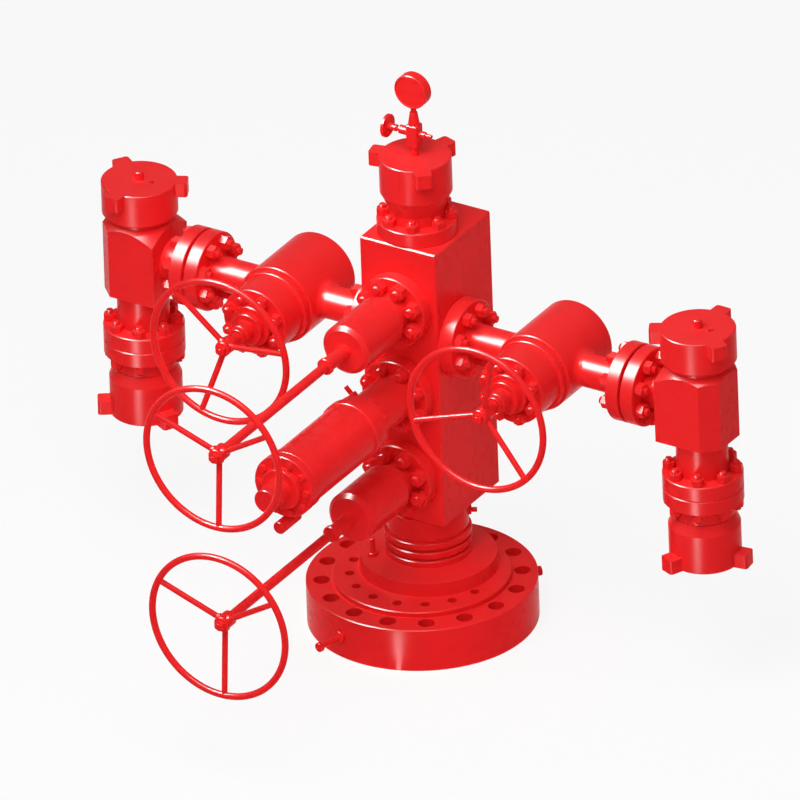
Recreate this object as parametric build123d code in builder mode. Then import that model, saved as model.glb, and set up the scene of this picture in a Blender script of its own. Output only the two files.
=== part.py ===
from build123d import *
import os
from math import cos, radians, sin

# Gas wellhead valve stack: a solid block tree on its tubing head flange.
# Millimetres, +Z up, origin at the centre of the base flange's underside.
# The bonnets point to the front, -Y, and the two wings run out along X.

# Fits
SEAT_CLEAR = 0.3
RUN_CLEAR = 0.1
KEY_CLEAR = 0.05
END_CLEAR = 1
EDGE = 2.5
FINE_EDGE = 1

# Base flange
BASE_R = 327
BASE_T = 130
BASE_BOLTS = 16
BASE_HOLE_INSET = 44.5
BASE_HOLE_R = 24
STEP_INSET = 75
STEP_T = 17
STEP_HOLES = 16
STEP_HOLE_INSET = 49
STEP_HOLE_R = 14
STEP_HOLE_DEPTH = 45
STEP_HOLE_CLEAR = 2
HANGER_R = 110
HANGER_DEPTH = 85
RING_GROOVE_R = 170
RING_GROOVE_W = 18
RING_GROOVE_DEPTH = 11

# Neck on the flange; the tree stands a little behind the flange's centre
TREE_BACK = 40
HUB_R = 197
HUB_DRAFT = 5
HUB_T = 40
HUB_RISE = 12
COLLARS = 3
COLLAR_R = 124
COLLAR_T = 19
COLLAR_GROOVE_R = 113
COLLAR_GROOVE_T = 9
NECK_R = 117
NECK_TOP = 348

# Plugs in the flange's rim and fittings in the hub and the neck
PLUG_TURNS = {"front": 256, "back": 52}
PLUG_STUB_L = {"front": 66, "back": 9}
PLUG_Z = 65
PLUG_R = 13
PLUG_DEPTH = 15
PLUG_SEAT_R = 22
PLUG_SEAT_DEPTH = 4
PLUG_COLLAR_R = 19
PLUG_COLLAR_T = 12
PLUG_STUB_R = 8
PLUG_HEAD_R = 14
PLUG_HEAD_T = 12
FITTING_R = 8
FITTING_DEPTH = 18
FITTING_HEX_R = 14
FITTING_HEX_T = 14
FITTING_TIP_R = 7
FITTING_TIP_L = 26
NECK_FITTING_TURN = 30
NECK_FITTING_Z = 318
NECK_FITTING_TIP = 16
HUB_FITTING_TURN = 219
HUB_FITTING_OUT = 158
HUB_FITTING_TIP = 44

# Valve block
BORE_R = 33
BLOCK_W = 248
BLOCK_FRONT = 112
BLOCK_BACK = 190
BLOCK_H = 870
BLOCK_EDGE = 4
CAVITY_R = 48
CAVITY_BEHIND = 70
MASTER_SHARE = 0.162
ACTUATOR_SHARE = 0.471
SWAB_SHARE = 0.779
WING_SHARE = 0.645

# Flanges on the block's top, the wings and the tees; raised faces leave a slit between two of them
FLANGE_R = 115
FLANGE_T = 45
FACE_R = 62
FACE_RISE = 4

# Top connector and hammer nuts
TOP_NECK_R = 79
TOP_NECK_L = 30
TOP_CONE_L = 53
NUT_R = 103
NUT_H = 112
NUT_ROOF = 40
SPIGOT_R = 70
SPIGOT_GAP = 6
LUG_COUNT = 3
LUG_R = 133
LUG_W = 50
LUG_H = 42
LUG_ROUND = 9
TREE_CAP_TURN = 72

# Needle valve and gauge on the tree cap
NIPPLE_R = 11
NIPPLE_DEPTH = 20
NIPPLE_L = 32
NEEDLE_W = 36
NEEDLE_H = 66
NEEDLE_ROUND = 4
NEEDLE_CONE_R = 17
NEEDLE_CONE_TOP_R = 11
NEEDLE_CONE_L = 38
NEEDLE_ARM_Z = 38
NEEDLE_ARM_R = 13
NEEDLE_ARM_L = 30
NEEDLE_STEM_R = 5
HANDLE_R = 34
HANDLE_T = 9
HANDLE_HUB_R = 10
HANDLE_OUT = 88
HANDLE_GAP = 8
BLEED_R = 6
BLEED_HEX_R = 10
BLEED_OUT = 58
GAUGE_R = 52
GAUGE_T = 34
GAUGE_RIM = 5
GAUGE_RECESS = 3
GAUGE_STEM_R = 8
GAUGE_STEM_L = 18

# Bonnets of the two manual valves on the block's front
BONNET_FLANGE_R = 107
BONNET_FLANGE_T = 42
BONNET_R = 60
BONNET_L = 100
BELL_R = 75
BELL_T = 198
BELL_TAPER = 12
TUBE_R = 21
TUBE_L = 92
GLAND_R = 25
GLAND_T = 14
STEM_R = 14
STEM_INSIDE = 60
FRONT_REACH = 1060

# Handwheels
PIN_R = 11
PIN_END_R = 8
PIN_END_L = 14
HUB_WHEEL_R = 23
HUB_WHEEL_L = 50
RIM_R = 218
RIM_TUBE_R = 10
RIM_OUT = 60
RIM_FLAT = 0.1
SPOKES = 3
SPOKE_R = 8.5
SWAB_TURN = 33
MASTER_TURN = 33
WING_TURNS = {-1: 12, 1: 75}

# Actuator on the upper master valve
YOKE_R = 68
YOKE_L = 175
YOKE_FLANGE_R = 86
YOKE_FLANGE_T = 42
CYLINDER_R = 89
CYLINDER_WALL = 13
CYLINDER_L = 353
CYLINDER_BAND_R = 94
CYLINDER_BAND_T = 30
END_FLANGE_R = 95
END_FLANGE_T = 30
END_SPIGOT_L = 20
END_STEP_R = 62
END_STEP_T = 20
END_CAP_R = 36
END_CAP_L = 80
PORT_TURN = 135
PORT_REACH = 287
VENT_INSET = 18
VENT_DROP = 117
VENT_R = 19
VENT_BACK = 16
VENT_FRONT = 80
VENT_STUB_R = 10

# Wing valves
WING_X = 422
WING_NECK_R = 49
WING_BODY_R = 117
WING_BODY_BACK = 164
WING_BODY_FRONT = 88
WING_DOME = 18
WING_CAVITY_R = 56
WING_OUT = 717
WING_FILLET = 24
WING_RING_R = 110
WING_RING_T = 24
WING_BONNET_R = 102
WING_BONNET_T = 118
WING_BARREL_R = 62
WING_BARREL_L = 27
WING_BELL_R = 48
WING_BELL_T = 20
WING_TUBE_R = 30
WING_TUBE_L = 38
WING_REACH = 334

# Tees at the ends of the wings
TEE_ARM = 201
TEE_W = 189
TEE_D = 188
TEE_CORNER = 43
TEE_BELOW = 113
TEE_ABOVE = 112
TEE_SLOPE = 0.77
TEE_NECK_R = 84
TEE_NECK_L = 22
TEE_SIDE_R = 58
TEE_LOWER_R = 74
TEE_LOWER_L = 109
TEE_NUT_R = 108
TEE_NUT_H = 99
TEE_LUG_R = 138
TEE_CAP_TURNS = {-1: 25, 1: 88}
CAP_PLUG_R = 13
CAP_PLUG_H = 26
CAP_HOLE_R = 7
CAP_HOLE_OUT = 42
CAP_HOLE_DEPTH = 15
SUB_NECK_R = 90
SUB_NECK_L = 44
SUB_SPIGOT_L = 105
UNION_H = 149
UNION_CONE_R = 90
UNION_CONE_H = 32
UNION_MOUTH_R = 78
UNION_TURNS = {-1: 92, 1: 7}

BLOCK_TOP = NECK_TOP + BLOCK_H
MASTER_Z = NECK_TOP + MASTER_SHARE * BLOCK_H
ACTUATOR_Z = NECK_TOP + ACTUATOR_SHARE * BLOCK_H
SWAB_Z = NECK_TOP + SWAB_SHARE * BLOCK_H
WING_Z = NECK_TOP + WING_SHARE * BLOCK_H
TEE_X = WING_OUT + TEE_ARM
TEE_LOW = WING_Z - TEE_BELOW
TEE_HIGH = WING_Z + TEE_ABOVE
SIDES = {-1: "left", 1: "right"}


def upright(x=0, y=TREE_BACK, z=0):
    """The plane of a part that stands: along it is height, across it radius."""
    return Plane(origin=(x, y, z), x_dir=(0, 0, 1), z_dir=(0, -1, 0))


def forward(x, z):
    """The plane of a part that points to the front, from the tree's axis."""
    return Plane(origin=(x, TREE_BACK, z), x_dir=(0, -1, 0), z_dir=(-1, 0, 0))


def sideways(side, z):
    """The plane of a part that points to one side, from the tree's axis."""
    return Plane(origin=(0, TREE_BACK, z), x_dir=(side, 0, 0), z_dir=(0, -side, 0))


def radial(turn, x, y, z):
    """The plane of a part that points out level from a vertical axis."""
    out = Vector(cos(radians(turn)), sin(radians(turn)), 0)
    return Plane(origin=(x, y, z), x_dir=out, z_dir=(-out.Y, out.X, 0))


def centre_line(plane):
    """The axis that a turned part on this plane is turned about."""
    return Axis(plane.origin, plane.x_dir)


def turned(plane, start, *stretches, edge=EDGE):
    """The half section of a turned part: stretches of (end, radius) or, for a cone,
    (end, first radius, last radius). Its outer corners are broken by edge."""
    firsts = [stretch[1] for stretch in stretches] + [0]
    points = [(start, 0)]
    here, before = start, 0
    for index, (end, first, *cone) in enumerate(stretches):
        last = cone[0] if cone else first
        if first > before and not cone and edge:
            points += [(here, first - edge), (here + edge, first)]
        else:
            points.append((here, first))
        if last > firsts[index + 1] and not cone and edge:
            points += [(end - edge, last), (end, last - edge)]
        else:
            points.append((end, last))
        here, before = end, last
    points.append((here, 0))
    corners = [point for point, ahead in zip(points, points[1:] + [None]) if point != ahead]
    with BuildSketch(plane) as section:
        with BuildLine():
            Polyline(*corners, close=True)
        make_face()
    return section.sketch


def save(part, name):
    part.label = name
    export_step(part, f"parts/{name}.step")


def hammer_nut(x, low, outline, bore, lug_low, lug_r, turn):
    """A round union nut with lugs to strike it by. outline and bore are stretches."""
    stand = upright(x, TREE_BACK, low)
    with BuildPart() as nut:
        revolve(turned(stand, 0, *outline), axis=centre_line(stand))
        with BuildSketch(Plane((x, TREE_BACK, low + lug_low))):
            with PolarLocations(lug_r / 2, LUG_COUNT, start_angle=turn):
                RectangleRounded(lug_r, LUG_W, LUG_ROUND)
        extrude(amount=LUG_H)
        revolve(turned(stand, 0, *bore, edge=0), axis=centre_line(stand), mode=Mode.SUBTRACT)
    return nut


def handwheel(plane, turn):
    """A dished wheel on three spokes. The plane starts at the back of its hub."""
    spin = centre_line(plane)
    with BuildPart() as wheel:
        revolve(turned(plane, 0, (HUB_WHEEL_L, HUB_WHEEL_R)), axis=spin)
        with BuildSketch(plane):
            with Locations((RIM_OUT, RIM_R)):
                Circle(RIM_TUBE_R)
            # A hair of a flat round the outside, where the bent bar was ground
            with Locations((RIM_OUT, RIM_R + RIM_TUBE_R)):
                Rectangle(2 * RIM_TUBE_R, 2 * RIM_FLAT, mode=Mode.SUBTRACT)
        revolve(axis=spin)
        for arm in range(SPOKES):
            around = radians(turn + 360 * arm / SPOKES)
            out = Vector(cos(around), 0, sin(around))
            foot = plane.origin + plane.x_dir * (HUB_WHEEL_L / 2)
            tip = plane.origin + plane.x_dir * RIM_OUT + out * RIM_R
            with BuildSketch(Plane(origin=foot, z_dir=tip - foot)):
                Circle(SPOKE_R)
            extrude(amount=(tip - foot).length)
        bore = turned(plane, 0, (HUB_WHEEL_L, PIN_R + KEY_CLEAR), edge=0)
        revolve(bore, axis=spin, mode=Mode.SUBTRACT)
    return wheel


def stem(plane, inside, hub_back):
    """A turned stem with a shoulder and a pin for the handwheel's hub."""
    pin_end = hub_back + HUB_WHEEL_L
    with BuildPart() as rod:
        rod_section = turned(
            plane,
            inside,
            (hub_back, STEM_R),
            (pin_end, PIN_R),
            (pin_end + PIN_END_L, PIN_END_R),
            edge=FINE_EDGE,
        )
        revolve(rod_section, axis=centre_line(plane))
    return rod


def hollow_turned(plane, start, outline, bore):
    """A turned part with a stepped bore along its axis."""
    with BuildPart() as piece:
        revolve(turned(plane, start, *outline), axis=centre_line(plane))
        revolve(turned(plane, start, *bore, edge=0), axis=centre_line(plane), mode=Mode.SUBTRACT)
    return piece


def screwed_plug(plane, start, shank_r, hole_depth, stretches):
    """A small turned plug whose shank sits in a hole behind the plane's start."""
    with BuildPart() as plug:
        shank_end = start - hole_depth + END_CLEAR
        section = turned(plane, shank_end, (start, shank_r), *stretches, edge=FINE_EDGE)
        revolve(section, axis=centre_line(plane))
    return plug


def fitting(plane, seat, tip):
    """A small pressure fitting: a screwed shank, a collar and a tip."""
    collar_face = seat + FITTING_HEX_T
    stretches = [(collar_face, FITTING_HEX_R), (collar_face + tip, FITTING_TIP_R)]
    return screwed_plug(plane, seat, FITTING_R, FITTING_DEPTH, stretches)


os.makedirs("parts", exist_ok=True)

# Base flange
step_top = BASE_T + STEP_T
step_r = BASE_R - STEP_INSET
hub_top = step_top + HUB_T
plug_planes = {name: radial(turn, 0, 0, PLUG_Z) for name, turn in PLUG_TURNS.items()}
plug_seat = BASE_R - PLUG_SEAT_DEPTH
with BuildPart() as base:
    stand = upright(y=0)
    revolve(turned(stand, 0, (BASE_T, BASE_R), (step_top, step_r)), axis=centre_line(stand))
    with BuildSketch(Plane.XY):
        with PolarLocations(BASE_R - BASE_HOLE_INSET, BASE_BOLTS, start_angle=180 / BASE_BOLTS):
            Circle(BASE_HOLE_R)
    extrude(amount=BASE_T, mode=Mode.SUBTRACT)
    # The ring of small holes is drilled only where the hub leaves the step free
    with BuildSketch(Plane.XY.offset(step_top)):
        for hole in range(STEP_HOLES):
            around = radians(360 * (hole + 1 / 2) / STEP_HOLES)
            spot = Vector(cos(around), sin(around)) * (step_r - STEP_HOLE_INSET)
            if (spot - Vector(0, TREE_BACK)).length > HUB_R + STEP_HOLE_R + STEP_HOLE_CLEAR:
                with Locations(spot):
                    Circle(STEP_HOLE_R)
    extrude(amount=-STEP_HOLE_DEPTH, mode=Mode.SUBTRACT)
    flow = upright()
    revolve(turned(flow, 0, (step_top, BORE_R), edge=0), axis=centre_line(flow), mode=Mode.SUBTRACT)
    revolve(turned(stand, 0, (HANGER_DEPTH, HANGER_R), edge=0), axis=centre_line(stand), mode=Mode.SUBTRACT)
    with BuildSketch(Plane.XY):
        Circle(RING_GROOVE_R + RING_GROOVE_W / 2)
        Circle(RING_GROOVE_R - RING_GROOVE_W / 2, mode=Mode.SUBTRACT)
    extrude(amount=RING_GROOVE_DEPTH, mode=Mode.SUBTRACT)
    for plane in plug_planes.values():
        seat = turned(
            plane,
            plug_seat - PLUG_DEPTH,
            (plug_seat, PLUG_R + SEAT_CLEAR),
            (BASE_R + EDGE, PLUG_SEAT_R),
            edge=0,
        )
        revolve(seat, axis=centre_line(plane), mode=Mode.SUBTRACT)
save(base.part, "base_flange")

for name, plane in plug_planes.items():
    collar_face = plug_seat + PLUG_COLLAR_T
    stub_end = collar_face + PLUG_STUB_L[name]
    plug = screwed_plug(
        plane,
        plug_seat,
        PLUG_R,
        PLUG_DEPTH,
        [(collar_face, PLUG_COLLAR_R), (stub_end, PLUG_STUB_R), (stub_end + PLUG_HEAD_T, PLUG_HEAD_R)],
    )
    save(plug.part, f"rim_plug_{name}")

# Neck: a wide hub, three collars and the round neck under the block
collar_pitch = COLLAR_T + COLLAR_GROOVE_T
collar_low = hub_top + HUB_RISE
collar_steps = []
for collar in range(COLLARS):
    collar_end = collar_low + collar * collar_pitch + COLLAR_T
    collar_steps.append((collar_end, COLLAR_R))
    collar_steps.append((collar_end + COLLAR_GROOVE_T, COLLAR_GROOVE_R))
neck_fitting = radial(NECK_FITTING_TURN, 0, TREE_BACK, NECK_FITTING_Z)
neck_seat = NECK_R - FITTING_HEX_T / 2
hub_spot = radial(HUB_FITTING_TURN, 0, TREE_BACK, hub_top).from_local_coords((HUB_FITTING_OUT, 0))
hub_fitting = upright(hub_spot.X, hub_spot.Y, hub_spot.Z)
with BuildPart() as neck:
    stand = upright()
    neck_section = turned(
        stand,
        step_top,
        (hub_top, HUB_R, HUB_R - HUB_DRAFT),
        (collar_low, HUB_R - HUB_DRAFT, COLLAR_R),
        *collar_steps,
        (NECK_TOP, NECK_R),
    )
    revolve(neck_section, axis=centre_line(stand))
    revolve(turned(stand, step_top, (NECK_TOP, BORE_R), edge=0), axis=centre_line(stand), mode=Mode.SUBTRACT)
    for plane, seat in ((neck_fitting, neck_seat), (hub_fitting, 0)):
        fitting_hole = turned(
            plane,
            seat - FITTING_DEPTH,
            (seat, FITTING_R + SEAT_CLEAR),
            (seat + FITTING_HEX_T, FITTING_HEX_R + EDGE),
            edge=0,
        )
        revolve(fitting_hole, axis=centre_line(plane), mode=Mode.SUBTRACT)
save(neck.part, "tree_neck")

save(fitting(neck_fitting, neck_seat, NECK_FITTING_TIP).part, "neck_fitting")
save(fitting(hub_fitting, 0, HUB_FITTING_TIP).part, "hub_fitting")

# Valve block with the flow bore, the wing outlets and the gate cavities
with BuildPart() as block:
    with BuildSketch(Plane.XY.offset(NECK_TOP)):
        with Locations((0, TREE_BACK + (BLOCK_BACK - BLOCK_FRONT) / 2)):
            Rectangle(BLOCK_W, BLOCK_FRONT + BLOCK_BACK)
    extrude(amount=BLOCK_H)
    chamfer(block.edges(), BLOCK_EDGE)
    flow = upright(z=NECK_TOP)
    revolve(turned(flow, 0, (BLOCK_H, BORE_R), edge=0), axis=centre_line(flow), mode=Mode.SUBTRACT)
    outlets = sideways(1, WING_Z)
    outlet_bore = turned(outlets, -BLOCK_W / 2, (BLOCK_W / 2, BORE_R), edge=0)
    revolve(outlet_bore, axis=centre_line(outlets), mode=Mode.SUBTRACT)
    for height in (MASTER_Z, ACTUATOR_Z, SWAB_Z):
        gate = forward(0, height)
        cavity = turned(gate, -CAVITY_BEHIND, (BLOCK_FRONT, CAVITY_R), edge=0)
        revolve(cavity, axis=centre_line(gate), mode=Mode.SUBTRACT)
save(block.part, "valve_block")

# Top connector, with the spigot that the tree cap screws on
cone_low = FLANGE_T + TOP_NECK_L
cap_seat = cone_low + TOP_CONE_L
cap_low = BLOCK_TOP + cap_seat
nut_inside = NUT_H - NUT_ROOF
connector = hollow_turned(
    upright(z=BLOCK_TOP),
    0,
    [
        (FLANGE_T, FLANGE_R),
        (cone_low, TOP_NECK_R),
        (cap_seat, TOP_NECK_R, NUT_R - EDGE),
        (cap_seat + nut_inside - SPIGOT_GAP, SPIGOT_R),
    ],
    [(cap_seat + nut_inside, BORE_R)],
)
save(connector.part, "top_connector")

cap = hammer_nut(
    0,
    cap_low,
    [(NUT_H, NUT_R)],
    [(nut_inside, SPIGOT_R + SEAT_CLEAR)],
    NUT_H - LUG_H,
    LUG_R,
    TREE_CAP_TURN,
)
cap_top = cap_low + NUT_H
with BuildPart() as tree_cap:
    add(cap.part)
    nipple_hole = upright(z=cap_top)
    hole_section = turned(nipple_hole, -NIPPLE_DEPTH, (0, NIPPLE_R + SEAT_CLEAR), edge=0)
    revolve(hole_section, axis=centre_line(nipple_hole), mode=Mode.SUBTRACT)
save(tree_cap.part, "tree_cap")

# Nipple, needle valve and gauge
with BuildPart() as nipple:
    stand = upright(z=cap_top)
    pipe = turned(stand, END_CLEAR - NIPPLE_DEPTH, (NIPPLE_L, NIPPLE_R), edge=FINE_EDGE)
    revolve(pipe, axis=centre_line(stand))
save(nipple.part, "cap_nipple")

needle_low = cap_top + NIPPLE_L
arm_z = needle_low + NEEDLE_ARM_Z
arm_end = NEEDLE_W / 2 + NEEDLE_ARM_L
needle_top = NEEDLE_H + NEEDLE_CONE_L
with BuildPart() as needle:
    with BuildSketch(Plane((0, TREE_BACK, needle_low))):
        RectangleRounded(NEEDLE_W, NEEDLE_W, NEEDLE_ROUND)
    extrude(amount=NEEDLE_H)
    chamfer(needle.faces().sort_by(Axis.Z)[-1].edges(), EDGE)
    stand = upright(z=needle_low)
    cone = turned(stand, 0, (NEEDLE_H, NEEDLE_CONE_R), (needle_top, NEEDLE_CONE_R, NEEDLE_CONE_TOP_R))
    revolve(cone, axis=centre_line(stand))
    arm = sideways(-1, arm_z)
    revolve(turned(arm, 0, (arm_end, NEEDLE_ARM_R)), axis=centre_line(arm))
    arm_bore = turned(arm, 0, (arm_end, NEEDLE_STEM_R + RUN_CLEAR), edge=0)
    revolve(arm_bore, axis=centre_line(arm), mode=Mode.SUBTRACT)
    bleed = sideways(1, arm_z)
    bleed_bore = turned(bleed, 0, (NEEDLE_W / 2, BLEED_R + SEAT_CLEAR), edge=0)
    revolve(bleed_bore, axis=centre_line(bleed), mode=Mode.SUBTRACT)
save(needle.part, "needle_valve_body")

with BuildPart() as handle:
    arm = sideways(-1, arm_z)
    grip = turned(
        arm,
        NEEDLE_STEM_R + END_CLEAR,
        (arm_end + HANDLE_GAP, NEEDLE_STEM_R),
        (HANDLE_OUT - HANDLE_T / 2, HANDLE_HUB_R),
        (HANDLE_OUT + HANDLE_T / 2, HANDLE_R),
        edge=FINE_EDGE,
    )
    revolve(grip, axis=centre_line(arm))
save(handle.part, "needle_valve_handle")

bleed_plug = screwed_plug(
    sideways(1, arm_z),
    NEEDLE_W / 2,
    BLEED_R,
    NEEDLE_W / 2 - NEEDLE_STEM_R,
    [((NEEDLE_W / 2 + BLEED_OUT) / 2, BLEED_HEX_R), (BLEED_OUT, BLEED_R)],
)
save(bleed_plug.part, "bleed_plug")

gauge_low = needle_low + needle_top
gauge_z = gauge_low + GAUGE_STEM_L + GAUGE_R
with BuildPart() as gauge:
    stand = upright(z=gauge_low)
    gauge_stem = turned(stand, 0, (GAUGE_STEM_L + GAUGE_R, GAUGE_STEM_R), edge=0)
    revolve(gauge_stem, axis=centre_line(stand))
    case = forward(0, gauge_z)
    revolve(turned(case, -GAUGE_T / 2, (GAUGE_T / 2, GAUGE_R)), axis=centre_line(case))
    dial = turned(case, GAUGE_T / 2 - GAUGE_RECESS, (GAUGE_T / 2, GAUGE_R - GAUGE_RIM), edge=0)
    revolve(dial, axis=centre_line(case), mode=Mode.SUBTRACT)
save(gauge.part, "pressure_gauge")

# Manual valves on the block's front: bonnet, bearing cap, stem and handwheel
barrel_end = BLOCK_FRONT + BONNET_L
bell_end = barrel_end + BELL_T
tube_end = bell_end + TUBE_L
gland_end = tube_end + GLAND_T
stem_start = barrel_end - STEM_INSIDE
stem_hole = STEM_R + RUN_CLEAR
for name, height, turn in (("swab", SWAB_Z, SWAB_TURN), ("master", MASTER_Z, MASTER_TURN)):
    out = forward(0, height)
    flange_end = BLOCK_FRONT + BONNET_FLANGE_T
    bonnet = hollow_turned(
        out,
        BLOCK_FRONT,
        [(flange_end, BONNET_FLANGE_R), (barrel_end, BONNET_R)],
        [(stem_start, CAVITY_R), (barrel_end, stem_hole)],
    )
    save(bonnet.part, f"{name}_bonnet")
    bearing = hollow_turned(
        out,
        barrel_end,
        [
            (bell_end - BELL_TAPER, BELL_R),
            (bell_end, BELL_R, BELL_R - BELL_TAPER),
            (tube_end, TUBE_R),
            (gland_end, GLAND_R),
        ],
        [(gland_end, stem_hole)],
    )
    save(bearing.part, f"{name}_bearing_cap")
    rod = stem(out, stem_start, FRONT_REACH)
    save(rod.part, f"{name}_stem")
    wheel = handwheel(Plane(out.origin + out.x_dir * FRONT_REACH, out.x_dir, out.z_dir), turn)
    save(wheel.part, f"{name}_handwheel")

# Actuator on the upper master valve
out = forward(0, ACTUATOR_Z)
yoke_end = BLOCK_FRONT + BONNET_FLANGE_T + YOKE_L
base_end = yoke_end + YOKE_FLANGE_T
cylinder_end = base_end + CYLINDER_L
cylinder_bore = CYLINDER_R - CYLINDER_WALL
port_plane = Plane(
    origin=out.origin + out.x_dir * PORT_REACH,
    x_dir=(cos(radians(PORT_TURN)), 0, sin(radians(PORT_TURN))),
    z_dir=(0, 1, 0),
)
with BuildPart() as yoke:
    yoke_section = turned(
        out,
        BLOCK_FRONT,
        (BLOCK_FRONT + BONNET_FLANGE_T, BONNET_FLANGE_R),
        (yoke_end, YOKE_R),
        (base_end, YOKE_FLANGE_R),
    )
    revolve(yoke_section, axis=centre_line(out))
    inside = turned(out, BLOCK_FRONT, (yoke_end, CAVITY_R), edge=0)
    revolve(inside, axis=centre_line(out), mode=Mode.SUBTRACT)
    port_hole = turned(port_plane, 0, (YOKE_R + EDGE, FITTING_R + SEAT_CLEAR), edge=0)
    revolve(port_hole, axis=centre_line(port_plane), mode=Mode.SUBTRACT)
save(yoke.part, "actuator_bonnet")
save(fitting(port_plane, YOKE_R, FITTING_TIP_L).part, "actuator_port")

vent_reach = cylinder_end - VENT_INSET
vent_plane = Plane(origin=out.origin + out.x_dir * vent_reach, x_dir=(0, 0, -1), z_dir=(0, 1, 0))
with BuildPart() as cylinder:
    shell = turned(
        out,
        base_end,
        (base_end + CYLINDER_BAND_T, CYLINDER_BAND_R),
        (cylinder_end - CYLINDER_BAND_T, CYLINDER_R),
        (cylinder_end, CYLINDER_BAND_R),
    )
    revolve(shell, axis=centre_line(out))
    inside = turned(out, base_end + CYLINDER_WALL, (cylinder_end, cylinder_bore), edge=0)
    revolve(inside, axis=centre_line(out), mode=Mode.SUBTRACT)
    vent_hole = turned(vent_plane, 0, (CYLINDER_BAND_R + EDGE, VENT_STUB_R + SEAT_CLEAR), edge=0)
    revolve(vent_hole, axis=centre_line(vent_plane), mode=Mode.SUBTRACT)
save(cylinder.part, "actuator_cylinder")

# Vent under the cylinder: a short tube along it on a screwed stub
with BuildPart() as vent:
    stub = turned(
        vent_plane,
        cylinder_bore + END_CLEAR,
        (CYLINDER_BAND_R, VENT_STUB_R),
        (CYLINDER_BAND_R + FITTING_HEX_T, FITTING_HEX_R),
        (VENT_DROP, VENT_STUB_R),
        edge=FINE_EDGE,
    )
    revolve(stub, axis=centre_line(vent_plane))
    tube = Plane(vent_plane.from_local_coords((VENT_DROP, 0)), out.x_dir, out.z_dir)
    revolve(turned(tube, -VENT_BACK, (VENT_FRONT, VENT_R)), axis=centre_line(tube))
save(vent.part, "actuator_vent")

end_face = cylinder_end + END_FLANGE_T
step_face = end_face + END_STEP_T
with BuildPart() as end_cap:
    lid = turned(
        out,
        cylinder_end - END_SPIGOT_L,
        (cylinder_end, cylinder_bore - SEAT_CLEAR),
        (end_face, END_FLANGE_R),
        (step_face, END_STEP_R),
        (step_face + END_CAP_L, END_CAP_R),
    )
    revolve(lid, axis=centre_line(out))
save(end_cap.part, "actuator_end_cap")

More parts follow.
